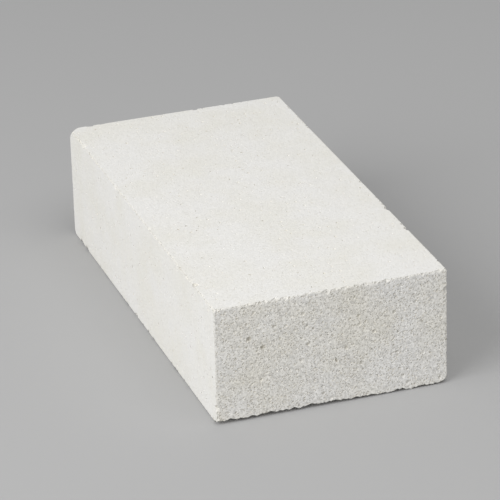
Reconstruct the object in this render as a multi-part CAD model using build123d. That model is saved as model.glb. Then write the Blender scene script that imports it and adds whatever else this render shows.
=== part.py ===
from build123d import *
from math import sqrt
import os

# Insulating fire brick: one block of light, porous refractory, fired and then sawn square on all six
# sides. It lies on a bed face, the largest of the three pairs of sides.
# Millimetres. +X runs along the length, +Y across the width, +Z up through the thickness.
# The origin is the middle of the lower bed face. The front is +X and the right is +Y.

# Standard format
LENGTH = 250.0
WIDTH = 124.0
THICKNESS = 64.0

# The sawn arrises are soft and rub blunt all round
ARRIS_RADIUS = 0.8

# Corners knocked round in handling: the length that each of the three edges loses at that corner
FRONT_RIGHT_LOWER_WEAR = 4.5
BACK_LEFT_UPPER_WEAR = 6.0
BACK_LEFT_LOWER_WEAR = 3.5
BACK_RIGHT_UPPER_WEAR = 2.5

# How far inside the three faces the centre of a worn corner's rounding lies, in wears: more is flatter
WEAR_DEPTH = 2.0

FRONT, BACK = 1, -1
RIGHT, LEFT = 1, -1
UPPER, LOWER = 1, 0

WORN_CORNERS = {
    (FRONT, RIGHT, LOWER): FRONT_RIGHT_LOWER_WEAR,
    (BACK, LEFT, UPPER): BACK_LEFT_UPPER_WEAR,
    (BACK, LEFT, LOWER): BACK_LEFT_LOWER_WEAR,
    (BACK, RIGHT, UPPER): BACK_RIGHT_UPPER_WEAR,
}


def sawn_block():
    """The block as it leaves the saw, with sharp edges."""
    return Box(LENGTH, WIDTH, THICKNESS, align=(Align.CENTER, Align.CENTER, Align.MIN))


def corner_crumb(end, side, bed, wear):
    """What handling rubs off one corner: the tip of the block that lies outside a sphere.

    The sphere is as large as it must be to meet the three edges one wear away from the corner.
    """
    inset = WEAR_DEPTH * wear
    radius = sqrt((inset - wear) ** 2 + 2 * inset**2)
    corner = Vector(end * LENGTH / 2, side * WIDTH / 2, bed * THICKNESS)
    inward = Vector(-end, -side, 1 - 2 * bed)
    tip = Pos(*(corner + inward * inset / 2)) * Box(inset, inset, inset)
    return tip - Pos(*(corner + inward * inset)) * Sphere(radius)


def insulating_brick():
    """The handled brick: its worn corners knocked off, then every arris left on it rubbed blunt."""
    brick = sawn_block()
    for (end, side, bed), wear in WORN_CORNERS.items():
        brick -= corner_crumb(end, side, bed, wear)
    return fillet(brick.edges(), ARRIS_RADIUS)


os.makedirs("parts", exist_ok=True)
export_step(insulating_brick(), "parts/insulating_brick.step")
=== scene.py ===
import math

import bmesh
import bpy
from mathutils import Matrix, Vector


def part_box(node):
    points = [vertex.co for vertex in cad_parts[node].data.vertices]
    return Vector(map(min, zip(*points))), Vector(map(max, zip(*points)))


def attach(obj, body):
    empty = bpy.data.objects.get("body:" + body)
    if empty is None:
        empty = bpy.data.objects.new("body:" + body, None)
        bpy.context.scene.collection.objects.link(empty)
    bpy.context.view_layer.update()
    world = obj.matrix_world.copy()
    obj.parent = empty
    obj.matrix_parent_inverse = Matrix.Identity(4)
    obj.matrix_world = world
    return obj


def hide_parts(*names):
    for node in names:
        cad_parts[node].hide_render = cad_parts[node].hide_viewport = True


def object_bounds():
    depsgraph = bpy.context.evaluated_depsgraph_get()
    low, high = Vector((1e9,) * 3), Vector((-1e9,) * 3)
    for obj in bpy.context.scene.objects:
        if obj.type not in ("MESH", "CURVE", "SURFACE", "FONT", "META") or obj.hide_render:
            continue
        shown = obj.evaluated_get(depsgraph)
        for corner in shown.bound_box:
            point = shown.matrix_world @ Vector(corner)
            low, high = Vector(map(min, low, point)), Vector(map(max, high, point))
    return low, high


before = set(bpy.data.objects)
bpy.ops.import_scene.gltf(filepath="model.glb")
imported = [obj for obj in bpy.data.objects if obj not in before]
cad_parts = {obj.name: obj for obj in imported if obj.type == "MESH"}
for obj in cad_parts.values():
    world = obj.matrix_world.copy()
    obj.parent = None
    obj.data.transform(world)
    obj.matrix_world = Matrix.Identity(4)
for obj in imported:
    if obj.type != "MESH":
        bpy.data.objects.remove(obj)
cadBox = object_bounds()  # the CAD model's box, before the brick is dressed
mm = 0.001
print("frame loaded, CAD box", [[round(value / mm, 2) for value in corner] for corner in cadBox])


def hexLinear(code):  # sRGB hex to linear RGBA
    channels = [int(code[i:i + 2], 16) / 255 for i in (1, 3, 5)]
    return [c / 12.92 if c <= 0.04045 else ((c + 0.055) / 1.055) ** 2.4 for c in channels] + [1.0]


def addNode(tree, kind, settings=None, inputs=None):  # an input takes a value, an output, or a node
    node = tree.nodes.new(kind)
    for name, value in (settings or {}).items():
        setattr(node, name, value)
    for name, value in (inputs or {}).items():
        if isinstance(value, bpy.types.Node):
            value = next(output for output in value.outputs if output.enabled)
        if isinstance(value, bpy.types.NodeSocket):
            tree.links.new(value, node.inputs[name])
        else:
            node.inputs[name].default_value = value
    return node


# how the faces were dressed, which both the shape and the material follow
dressing = {
    "groundFrom": 0.95,  # how straight a surface looks up or left where grinding starts to show, 1 at most
    "groundTo": 0.98,  # and where it shows in full
}


def squareness(tree, normal):  # how straight a surface looks one of the six ways, 1 at most
    positive = addNode(tree, "ShaderNodeVectorMath", {"operation": "ABSOLUTE"}, {0: normal})
    way = addNode(tree, "ShaderNodeSeparateXYZ", None, {"Vector": positive}).outputs
    level = addNode(tree, "ShaderNodeMath", {"operation": "MAXIMUM"}, {0: way["X"], 1: way["Y"]})
    return addNode(tree, "ShaderNodeMath", {"operation": "MAXIMUM"}, {0: level, 1: way["Z"]})


def dressed(tree, normal, ground):  # 1 on sawn faces, and ground on the upper bed and the left side
    way = addNode(tree, "ShaderNodeSeparateXYZ", None, {"Vector": normal}).outputs
    left = addNode(tree, "ShaderNodeMath", {"operation": "MULTIPLY"}, {0: way["Y"], 1: -1.0})
    upOrLeft = addNode(tree, "ShaderNodeMath", {"operation": "MAXIMUM"}, {0: way["Z"], 1: left})
    return addNode(tree, "ShaderNodeMapRange", None,
                   {"Value": upOrLeft, "From Min": dressing["groundFrom"], "From Max": dressing["groundTo"],
                    "To Min": 1.0, "To Max": ground})


# fired refractory
# Light mullite foam, cast, fired, then sawn and ground dry: a matt chalky white with thousands of
# cut bubbles. The sawn faces turn grainy in raking light, and the two ground ones stay plainer. Painted
# shade darkens and warms the cut bubbles and the sawn walls, and greys the arrises.
refractory = {
    "wall": "#F2F1EE",  # fired cell walls
    "wallWarm": "#EFEEE8",  # faint cream clouds from firing
    "bubble": "#E8DEC8",  # painted shade inside a cut bubble, darker and warmer as if light bounced from wall to wall
    "broken": "#E2E0DA",  # broken walls along an arris, greyer, partly painted shade that dims the arris's highlight
    "arris": 3 * mm,  # width of the band along an arris where broken walls and painted shade show
    "arrisFade": (1.15, 1.3),  # nearness to its two faces, added up, where they start and are full
    "arrisSquare": (0.92, 0.99),  # squareness up to which they are full, and from which there are none
    "arrisShade": 0.7,  # how much of their colour, broken walls and painted shade, they show
    "foam": (  # larger and fine bubbles: room taken by one, smallest and largest radius in rooms
        (1.9 * mm, 0.12, 0.46),
        (1.1 * mm, 0.22, 0.50),
    ),
    "bubbleDepth": 0.32 * mm,
    "bubblePaintedShade": 0.6,  # how much of this painted shade the bubbles show
    "sawnWallShadeAndCream": (0.03, 0.22),  # and how much the sawn walls show it as painted warm shade, outside and inside a cream cloud
    "cloud": 26 * mm,  # size of the cream clouds
    "cloudDetail": 3.0,
    "cloudRoughness": 0.55,
    "cloudFade": (0.4, 0.75),  # levels of the clouds where all walls start to warm and are warm
    "creamShadeFade": (0.35, 0.65),  # and where the sawn ones start to show the bubbles' painted shade colour and show it most
    "crumb": 0.8 * mm,  # sugary break of the walls, really about 0.4 mm, drawn coarser so that it shows
    "crumbTilt": 0.50,  # how far one crumb leans from the next
    "ground": 0.4,  # share of the relief that grinding leaves
    "roughness": 0.92,
    "ior": 1.6,
    "specular": 0.25,
}


def brokenWallsAndArrisShade(tree, look, box, place, normal):  # the band of broken walls and painted shade along an arris: close to two faces at once, and level with neither
    middle = (box[0] + box[1]) / 2
    inner = (box[1] - box[0]) / 2 - Vector([look["arris"]] * 3)
    offset = addNode(tree, "ShaderNodeVectorMath", {"operation": "SUBTRACT"}, {0: place, 1: middle})
    spread = addNode(tree, "ShaderNodeVectorMath", {"operation": "ABSOLUTE"}, {0: offset})
    beyond = addNode(tree, "ShaderNodeVectorMath", {"operation": "SUBTRACT"}, {0: spread, 1: inner})
    near = addNode(tree, "ShaderNodeVectorMath", {"operation": "SCALE"},
                   {0: beyond, "Scale": 1 / look["arris"]})
    close = addNode(tree, "ShaderNodeVectorMath", {"operation": "MAXIMUM"}, {0: near, 1: (0, 0, 0)})
    faces = addNode(tree, "ShaderNodeVectorMath", {"operation": "DOT_PRODUCT"}, {0: close, 1: (1, 1, 1)})
    start, full = look["arrisFade"]
    beside = addNode(tree, "ShaderNodeMapRange", None, {"Value": faces, "From Min": start, "From Max": full})
    full, end = look["arrisSquare"]
    oblique = addNode(tree, "ShaderNodeMapRange", None,
                      {"Value": squareness(tree, normal), "From Min": full, "From Max": end,
                       "To Min": look["arrisShade"], "To Max": 0.0})
    return addNode(tree, "ShaderNodeMath", {"operation": "MULTIPLY"}, {0: beside, 1: oblique})


def firedRefractory(look, box):
    material = bpy.data.materials.new("fired refractory, sawn and ground")
    material.use_nodes = True
    tree = material.node_tree
    tree.nodes.clear()
    surface = addNode(tree, "ShaderNodeTexCoord").outputs
    place = surface["Object"]
    relief = dressed(tree, surface["Normal"], look["ground"])
    # the greyed arris band: broken walls and painted shade
    broken = brokenWallsAndArrisShade(tree, look, box, place, surface["Normal"])

    hollows = []
    for room, smallest, largest in look["foam"]:
        foam = addNode(tree, "ShaderNodeTexVoronoi", {"feature": "F1"}, {"Vector": place, "Scale": 1 / room})
        chance = addNode(tree, "ShaderNodeSeparateColor", None, {"Color": foam.outputs["Color"]})
        radius = addNode(tree, "ShaderNodeMapRange", None,
                         {"Value": chance.outputs["Red"], "To Min": smallest, "To Max": largest})
        hollow = addNode(tree, "ShaderNodeMapRange", {"interpolation_type": "SMOOTHSTEP"},
                         {"Value": foam.outputs["Distance"], "From Min": 0.0, "From Max": radius,
                          "To Min": 1.0, "To Max": 0.0})
        hollows.append(hollow)
    deepest = addNode(tree, "ShaderNodeMath", {"operation": "MAXIMUM"}, {0: hollows[0], 1: hollows[1]})

    cloud = addNode(tree, "ShaderNodeTexNoise", None,
                    {"Vector": place, "Scale": 1 / look["cloud"], "Detail": look["cloudDetail"],
                     "Roughness": look["cloudRoughness"]}).outputs["Fac"]
    start, full = look["cloudFade"]
    warmth = addNode(tree, "ShaderNodeMapRange", None, {"Value": cloud, "From Min": start, "From Max": full})
    wall = addNode(tree, "ShaderNodeMix", {"data_type": "RGBA"},
                   {"Factor": warmth, "A": hexLinear(look["wall"]), "B": hexLinear(look["wallWarm"])})
    # painted shade: the sawn faces take the bubbles' warm colour over their walls, more inside the cream
    # clouds, and most in the hollows
    start, full = look["creamShadeFade"]
    outside, inside = look["sawnWallShadeAndCream"]
    patches = addNode(tree, "ShaderNodeMapRange", None,
                      {"Value": cloud, "From Min": start, "From Max": full,
                       "To Min": outside, "To Max": inside})
    creamAndPitShade = addNode(tree, "ShaderNodeMapRange", None,
                    {"Value": deepest, "To Min": patches, "To Max": look["bubblePaintedShade"]})
    shade = addNode(tree, "ShaderNodeMath", {"operation": "MULTIPLY"}, {0: creamAndPitShade, 1: relief})
    # the wall with painted shade, darker and warmer, in the bubbles' hollows and over the sawn walls
    pitShadedWall = addNode(tree, "ShaderNodeMix", {"data_type": "RGBA"},
                     {"Factor": shade, "A": wall, "B": hexLinear(look["bubble"])})
    # the arrises greyed, partly broken walls and partly painted shade that dims their highlight
    colour = addNode(tree, "ShaderNodeMix", {"data_type": "RGBA"},
                     {"Factor": broken, "A": pitShadedWall, "B": hexLinear(look["broken"])})

    dented = addNode(tree, "ShaderNodeBump", {"invert": True},
                     {"Strength": relief, "Distance": look["bubbleDepth"], "Height": deepest})
    crumb = addNode(tree, "ShaderNodeTexVoronoi", {"feature": "F1"},
                    {"Vector": place, "Scale": 1 / look["crumb"]})
    lean = addNode(tree, "ShaderNodeVectorMath", {"operation": "SUBTRACT"},
                   {0: crumb.outputs["Color"], 1: (0.5, 0.5, 0.5)})  # a random colour, about its middle
    tilt = addNode(tree, "ShaderNodeMath", {"operation": "MULTIPLY"}, {0: relief, 1: look["crumbTilt"]})
    tilted = addNode(tree, "ShaderNodeVectorMath", {"operation": "MULTIPLY_ADD"},
                     {0: lean, 1: tilt, 2: dented})
    facet = addNode(tree, "ShaderNodeVectorMath", {"operation": "NORMALIZE"}, {0: tilted})
    shader = addNode(tree, "ShaderNodeBsdfPrincipled", None,
                     {"Base Color": colour, "Roughness": look["roughness"], "IOR": look["ior"],
                      "Specular IOR Level": look["specular"], "Normal": facet})
    addNode(tree, "ShaderNodeOutputMaterial", None, {"Surface": shader})
    print("refractory mixed:", len(tree.nodes), "nodes")
    return material


# insulating brick
brick = {
    "grid": 10 * mm,  # facets of the sawn blank
    "flat": 0.001,  # radians, CAD facets nearer to level than this are one face
    "merge": 0.001 * mm,  # CAD points nearer than this are one
    "weld": 0.0001 * mm,  # slivers under this, left by the cuts, are closed up
    "seed": 11,
    "seedStep": 50,  # from the seed of one kind of break to the next
    "crowding": 4.0,  # tries at each place, so that the breaks stand as close as their spacing lets them
    "squeeze": (0.8, 1.25),  # how far a break is pressed or stretched out of round
    "pore": {  # cut bubbles, all over
        "spacing": 3.6 * mm,
        "smallest": 0.4 * mm,  # radii
        "largest": 1.35 * mm,
        "spread": 3.0,  # more makes large ones rarer
        "deepest": -0.15,  # how far the middle lies outside the surface, in radii
        "shallowest": 0.5,
    },
    "nick": {  # crumbled arrises and worn corners
        "spacing": 1.5 * mm,
        "smallest": 0.45 * mm,
        "largest": 1.3 * mm,
        "spread": 2.2,
        "deepest": 0.1,
        "shallowest": 0.5,
    },
    "chip": {  # lower front arris, broken away underneath
        "spacing": 1.2 * mm,
        "smallest": 0.6 * mm,  # heights
        "largest": 1.0 * mm,
        "spread": 1.0,
        "deepest": -0.2,
        "shallowest": 0.2,
    },
    "flake": {  # larger pieces gone from the arrises here and there
        "spacing": 4.6 * mm,
        "smallest": 1.5 * mm,
        "largest": 4.2 * mm,
        "spread": 1.9,
        "deepest": 0.48,
        "shallowest": 0.76,
    },
    "groundPore": 0.65,  # how large the bubbles in the ground faces are, beside the others
    "arrisSquare": 0.97,  # squareness under which a facet is part of an arris
    "chipFrom": {"X": 2 * mm, "Y": 0.5 * mm, "Z": 2 * mm},  # from the front end, left side and lower bed
    "chipReach": 6 * mm,  # how far a chip goes in under the brick
    "chipWidth": 2.0,  # in heights
    "chipGrowth": 1.9,  # how much larger the chips are at the left end
    "openPores": ((-44, 45, 1.7), (-37, 39, 1.6)),  # across and up the front end, and radius, in mm
    "openPoreSunk": 0.3,  # in radii
    "mapGap": 3 * mm,  # between the sides on the bake map
}


def sawnBlank(node, values):  # closed copy of the CAD solid, with its flats cut into even facets
    blank = bmesh.new()
    blank.from_mesh(node.data)
    bmesh.ops.remove_doubles(blank, verts=blank.verts, dist=values["merge"])
    bmesh.ops.dissolve_limit(blank, angle_limit=values["flat"], verts=blank.verts, edges=blank.edges)
    low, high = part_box(node.name)
    for axis in range(3):
        count = round((high[axis] - low[axis]) / values["grid"])
        across = Vector((axis == 0, axis == 1, axis == 2))
        for i in range(1, count):
            cut = across * (low[axis] + (high[axis] - low[axis]) * i / count)
            parts = blank.verts[:] + blank.edges[:] + blank.faces[:]
            bmesh.ops.bisect_plane(blank, geom=parts, dist=values["weld"], plane_co=cut, plane_no=across)
    mesh = bpy.data.meshes.new("sawn blank")
    blank.to_mesh(mesh)
    blank.free()
    return mesh


def brokenSkin(values, box, material):  # cuts bubbles into the faces, and breaks the arrises
    low, high = box
    tree = bpy.data.node_groups.new("broken skin", "GeometryNodeTree")
    tree.interface.new_socket("blank", in_out="INPUT", socket_type="NodeSocketGeometry")
    kinds = ("pore", "nick", "chip", "flake")
    for kind in kinds:
        for name in values[kind]:
            tree.interface.new_socket(kind + " " + name, in_out="INPUT", socket_type="NodeSocketFloat")
    for name in ("groundPore", "chipReach", "chipGrowth"):
        tree.interface.new_socket(name, in_out="INPUT", socket_type="NodeSocketFloat")
    tree.interface.new_socket("seed", in_out="INPUT", socket_type="NodeSocketInt")
    tree.interface.new_socket("brick", in_out="OUTPUT", socket_type="NodeSocketGeometry")
    sizes = addNode(tree, "NodeGroupInput").outputs
    bubble = addNode(tree, "GeometryNodeMeshIcoSphere", None,
                     {"Radius": 1.0, "Subdivisions": 1})  # only 20 faces, because there are thousands

    # where the kinds go: pores everywhere, chips along one arris, the others along all of them
    square = squareness(tree, addNode(tree, "GeometryNodeInputNormal"))
    onArris = addNode(tree, "FunctionNodeCompare", {"operation": "LESS_THAN"},
                      {0: square, 1: values["arrisSquare"]})
    position = addNode(tree, "GeometryNodeInputPosition")
    spot = addNode(tree, "ShaderNodeSeparateXYZ", None, {"Vector": position}).outputs
    margin = values["chipFrom"]
    chipped = onArris
    for axis, side, limit in (("X", "GREATER_THAN", high.x - margin["X"]),
                              ("Y", "GREATER_THAN", low.y + margin["Y"]),
                              ("Z", "LESS_THAN", low.z + margin["Z"])):
        within = addNode(tree, "FunctionNodeCompare", {"operation": side}, {0: spot[axis], 1: limit})
        chipped = addNode(tree, "FunctionNodeBooleanMath", {"operation": "AND"}, {0: chipped, 1: within})
    where = {"nick": onArris, "chip": chipped, "flake": onArris}

    cutters = addNode(tree, "GeometryNodeJoinGeometry").inputs["Geometry"]
    for i, kind in enumerate(kinds):
        seeds = [addNode(tree, "ShaderNodeMath", {"operation": "ADD"},
                         {0: sizes["seed"], 1: values["seedStep"] * i + j}) for j in range(5)]
        spacing = sizes[kind + " spacing"]
        packing = addNode(tree, "ShaderNodeMath", {"operation": "POWER"},
                          {0: spacing, 1: -2.0})  # one in each square of that side
        density = addNode(tree, "ShaderNodeMath", {"operation": "MULTIPLY"},
                          {0: packing, 1: values["crowding"]})
        scatter = addNode(tree, "GeometryNodeDistributePointsOnFaces", {"distribute_method": "POISSON"},
                          {"Mesh": sizes["blank"], "Selection": where.get(kind, True),
                           "Distance Min": spacing, "Density Max": density, "Seed": seeds[0]})
        normal = scatter.outputs["Normal"]

        chance = addNode(tree, "FunctionNodeRandomValue", {"data_type": "FLOAT"},
                         {"Min": 0.0, "Max": 1.0, "Seed": seeds[1]})
        rarer = addNode(tree, "ShaderNodeMath", {"operation": "POWER"},
                        {0: chance, 1: sizes[kind + " spread"]})
        radius = addNode(tree, "ShaderNodeMapRange", None,
                         {"Value": rarer, "To Min": sizes[kind + " smallest"],
                          "To Max": sizes[kind + " largest"]})
        if kind == "pore":
            ground = dressed(tree, normal, sizes["groundPore"])
            radius = addNode(tree, "ShaderNodeMath", {"operation": "MULTIPLY"}, {0: radius, 1: ground})
        shape = radius
        turn = addNode(tree, "FunctionNodeRandomValue", {"data_type": "FLOAT_VECTOR"},
                       {"Min": (0, 0, 0), "Max": [math.tau] * 3, "Seed": seeds[3]})
        if kind == "chip":  # long and level, and taller towards the left
            tallest = addNode(tree, "ShaderNodeMath", {"operation": "ADD"}, {0: sizes["chipGrowth"], 1: 1.0})
            growth = addNode(tree, "ShaderNodeMapRange", None,
                             {"Value": spot["Y"], "From Min": high.y, "From Max": low.y,
                              "To Min": 1.0, "To Max": tallest})
            radius = addNode(tree, "ShaderNodeMath", {"operation": "MULTIPLY"}, {0: radius, 1: growth})
            width = addNode(tree, "ShaderNodeMath", {"operation": "MULTIPLY"},
                            {0: radius, 1: values["chipWidth"]})
            shape = addNode(tree, "ShaderNodeCombineXYZ", None,
                            {"X": sizes["chipReach"], "Y": width, "Z": radius})
            turn = (0, 0, 0)

        depth = addNode(tree, "FunctionNodeRandomValue", {"data_type": "FLOAT"},
                        {"Min": sizes[kind + " deepest"], "Max": sizes[kind + " shallowest"],
                         "Seed": seeds[2]})
        lift = addNode(tree, "ShaderNodeMath", {"operation": "MULTIPLY"}, {0: radius, 1: depth})
        outward = addNode(tree, "ShaderNodeVectorMath", {"operation": "SCALE"}, {0: normal, "Scale": lift})
        placed = addNode(tree, "GeometryNodeSetPosition", None,
                         {"Geometry": scatter.outputs["Points"], "Offset": outward})
        pressed, stretched = values["squeeze"]
        squeeze = addNode(tree, "FunctionNodeRandomValue", {"data_type": "FLOAT_VECTOR"},
                          {"Min": [pressed] * 3, "Max": [stretched] * 3, "Seed": seeds[4]})
        scale = addNode(tree, "ShaderNodeVectorMath", {"operation": "MULTIPLY"}, {0: squeeze, 1: shape})
        bubbles = addNode(tree, "GeometryNodeInstanceOnPoints", None,
                          {"Points": placed, "Instance": bubble.outputs["Mesh"], "Rotation": turn,
                           "Scale": scale})
        tree.links.new(bubbles.outputs["Instances"], cutters)

    for across, up, size in values["openPores"]:
        pore = addNode(tree, "GeometryNodeTransform", None,
                       {"Geometry": bubble.outputs["Mesh"], "Scale": [size * mm] * 3,
                        "Translation": (high.x - size * values["openPoreSunk"] * mm, across * mm, up * mm)})
        tree.links.new(pore.outputs["Geometry"], cutters)

    cut = addNode(tree, "GeometryNodeMeshBoolean", {"operation": "DIFFERENCE", "solver": "MANIFOLD"},
                  {"Mesh 1": sizes["blank"], "Mesh 2": cutters.node})
    whole = addNode(tree, "GeometryNodeRealizeInstances", None, {"Geometry": cut.outputs["Mesh"]})
    fired = addNode(tree, "GeometryNodeSetMaterial", None, {"Geometry": whole, "Material": material})
    addNode(tree, "NodeGroupOutput", None, {"brick": fired})
    return tree


def closeSlivers(mesh, gap):
    clean = bmesh.new()
    clean.from_mesh(mesh)
    bmesh.ops.triangulate(clean, faces=clean.faces)
    bmesh.ops.remove_doubles(clean, verts=clean.verts, dist=gap)
    bmesh.ops.dissolve_degenerate(clean, edges=clean.edges, dist=gap)
    bmesh.ops.triangulate(clean, faces=clean.faces)
    clean.to_mesh(mesh)
    clean.free()


def cartonMap(mesh, low, high, gap):  # a bake map, with the six sides laid flat beside each other
    length, width, thickness = high - low
    second = width + gap  # rows and columns of the sheet
    upright = length + gap
    ends = 2 * width + 2 * gap
    sheet = (upright + 2 * thickness + gap, ends + thickness)
    sides = {  # axis and end: what runs across, which way, what runs up, and the corner on the sheet
        (2, 0): (0, -1, 1, (0, 0)),
        (2, 1): (0, 1, 1, (0, second)),
        (1, 0): (2, -1, 0, (upright, 0)),
        (1, 1): (2, 1, 0, (upright + thickness + gap, 0)),
        (0, 0): (1, -1, 2, (0, ends)),
        (0, 1): (1, 1, 2, (second, ends)),
    }
    layer = mesh.uv_layers.new(name="OFBake")
    for face in mesh.polygons:
        room = {(axis, end): abs(face.center[axis] - (low, high)[end][axis]) for axis, end in sides}
        across, way, upward, corner = sides[min(room, key=room.get)]
        for loop in face.loop_indices:
            point = mesh.vertices[mesh.loops[loop].vertex_index].co
            run = point[across] - low[across] if way > 0 else high[across] - point[across]
            rise = point[upward] - low[upward]
            layer.data[loop].uv = ((corner[0] + run) / sheet[0], (corner[1] + rise) / sheet[1])


def insulatingBrick(node, values, material):
    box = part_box(node.name)
    piece = bpy.data.objects.new("brick_skin", sawnBlank(node, values))
    bpy.context.scene.collection.objects.link(piece)
    tree = brokenSkin(values, box, material)
    breaking = piece.modifiers.new("broken skin", "NODES")
    breaking.node_group = tree
    for socket in tree.interface.items_tree:
        if socket.in_out == "INPUT" and socket.name != "blank":
            kind, _, name = socket.name.partition(" ")
            breaking[socket.identifier] = values[kind][name] if name else values[kind]
    depsgraph = bpy.context.evaluated_depsgraph_get()
    mesh = bpy.data.meshes.new_from_object(piece.evaluated_get(depsgraph))
    piece.modifiers.remove(breaking)
    piece.data = mesh
    mesh.name = "brick skin"
    closeSlivers(mesh, values["weld"])
    mesh.calc_loop_triangles()
    print("brick cut:", len(mesh.loop_triangles), "triangles")
    cartonMap(mesh, *box, values["mapGap"])
    return piece


skin = insulatingBrick(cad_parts["insulating_brick"], brick, firedRefractory(refractory, cadBox))
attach(skin, "root")
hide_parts("insulating_brick")

# studio
studio = {
    "floor": "#B9B9B9",  # pale grey paper
    "floorRoughness": 0.9,
    "floorSpecular": 0.1,
    "floorRadius": 8.0,  # metres
    "floorCorners": 96,
    "backdrop": "#ACADAE",
    "ambient": 0.44,  # even room light
    "softboxSize": 1.5,  # metres
    "softboxDistance": 2.0,
    "overhead": (0.40, 0.16, 0.90),  # which way it stands from the brick
    "overheadPower": 9.8,  # watts
    "leftHand": (0.33, -0.78, 0.53),
    "leftHandPower": 24.3,
}


def paperFloor(look):
    mesh = bpy.data.meshes.new("paper floor")
    disc = bmesh.new()
    bmesh.ops.create_circle(disc, cap_ends=True, segments=look["floorCorners"], radius=look["floorRadius"])
    disc.to_mesh(mesh)
    disc.free()
    material = bpy.data.materials.new("matt paper")
    material.use_nodes = True
    shader = material.node_tree.nodes["Principled BSDF"]
    shader.inputs["Base Color"].default_value = hexLinear(look["floor"])
    shader.inputs["Roughness"].default_value = look["floorRoughness"]
    shader.inputs["Specular IOR Level"].default_value = look["floorSpecular"]
    mesh.materials.append(material)
    floor = bpy.data.objects.new("paper_floor", mesh)
    bpy.context.scene.collection.objects.link(floor)


def roomLight(look):  # even light all round, with the backdrop where it is looked at
    world = bpy.data.worlds.new("studio")
    bpy.context.scene.world = world
    world.use_nodes = True
    tree = world.node_tree
    tree.nodes.clear()
    room = addNode(tree, "ShaderNodeBackground", None, {"Color": (1, 1, 1, 1), "Strength": look["ambient"]})
    seen = addNode(tree, "ShaderNodeBackground", None,
                   {"Color": hexLinear(look["backdrop"]), "Strength": 1.0})
    path = addNode(tree, "ShaderNodeLightPath").outputs
    mirrored = addNode(tree, "ShaderNodeMath", {"operation": "ADD"},
                       {0: path["Is Glossy Ray"], 1: path["Is Transmission Ray"]})
    looked = addNode(tree, "ShaderNodeMath", {"operation": "ADD", "use_clamp": True},
                     {0: path["Is Camera Ray"], 1: mirrored})
    pick = addNode(tree, "ShaderNodeMixShader", None, {"Fac": looked, 1: room, 2: seen})
    addNode(tree, "ShaderNodeOutputWorld", None, {"Surface": pick})


def softboxes(look):
    for name in ("overhead", "leftHand"):
        lamp = bpy.data.lights.new(name + " softbox", "AREA")
        lamp.size = look["softboxSize"]
        lamp.energy = look[name + "Power"]
        softbox = bpy.data.objects.new(name + " softbox", lamp)
        bpy.context.scene.collection.objects.link(softbox)
        towards = Vector(look[name]).normalized()
        softbox.location = towards * look["softboxDistance"]
        softbox.rotation_euler = towards.to_track_quat("Z", "Y").to_euler()


paperFloor(studio)
roomLight(studio)
softboxes(studio)
bpy.context.scene.view_settings.view_transform = "Standard"
print("studio lit")

# camera, at the place that the photograph was taken from
shot = {
    "azimuth": 71.4,  # degrees, 90 looks straight at the front end
    "elevation": 24.9,
    "roll": -1.7,
    "distance": 1.727,  # metres
    "lens": 233.0,  # mm, long enough for the brick to fill the frame
}


def photographCamera(view, target):
    azimuth = math.radians(view["azimuth"])
    elevation = math.radians(view["elevation"])
    back = Vector((math.sin(azimuth) * math.cos(elevation), -math.cos(azimuth) * math.cos(elevation),
                   math.sin(elevation)))
    data = bpy.data.cameras.new("photograph")
    data.lens = view["lens"]
    camera = bpy.data.objects.new("photograph", data)
    bpy.context.scene.collection.objects.link(camera)
    aim = (-back).to_track_quat("-Z", "Y").to_matrix() @ Matrix.Rotation(math.radians(view["roll"]), 3, "Z")
    camera.matrix_world = Matrix.Translation(target + back * view["distance"]) @ aim.to_4x4()
    bpy.context.scene.camera = camera


photographCamera(shot, (cadBox[0] + cadBox[1]) / 2)
print("camera placed")
